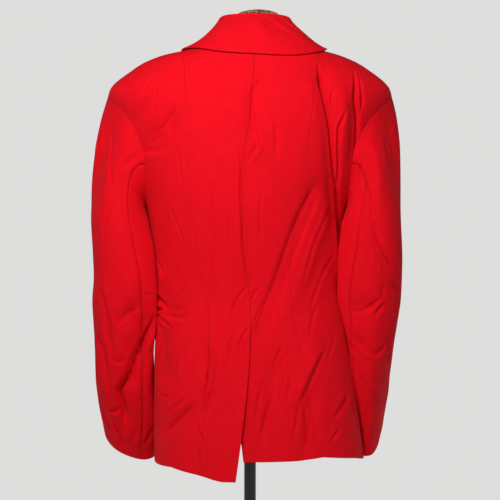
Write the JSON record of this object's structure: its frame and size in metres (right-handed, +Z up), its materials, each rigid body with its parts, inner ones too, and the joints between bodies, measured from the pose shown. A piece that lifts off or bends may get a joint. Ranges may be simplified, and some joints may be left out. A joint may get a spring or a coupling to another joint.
{
  "type": "double-breasted jacket on dress form",
  "caption": "Tailored double-breasted jacket with peak lapels and a back vent, worn by a limbless dress form on a short counter stand.",
  "frame": {"origin": "middle of the stand's foot, on the surface that it stands on", "axes": "+Z up, -Y out of the jacket's front, +X to its left side"},
  "size_m": [0.5004, 0.3068, 0.9872],
  "materials": {
    "jacket_cloth": "bright red, fine smooth weave, matte",
    "button_red": "deep red, low gloss",
    "form_cover": "spotted brown and gold jersey",
    "stand_black": "satin black"
  },
  "bodies": {
    "root": {"back_left": "jacket_cloth", "back_right": "jacket_cloth", "side_back_left": "jacket_cloth", "side_back_right": "jacket_cloth", "front_left": "jacket_cloth", "front_right": "jacket_cloth", "lapel_left": "jacket_cloth", "lapel_right": "jacket_cloth", "collar": "jacket_cloth", "sleeve_left_upper": "jacket_cloth", "sleeve_left_under": "jacket_cloth", "sleeve_right_upper": "jacket_cloth", "sleeve_right_under": "jacket_cloth", "button_1": "button_red", "button_2": "button_red", "button_3": "button_red", "button_4": "button_red", "button_5": "button_red", "button_6": "button_red", "form_torso": "form_cover", "stand_foot": "stand_black", "stand_pole": "stand_black", "stand_plate": "stand_black"}
  },
  "joints": []
}
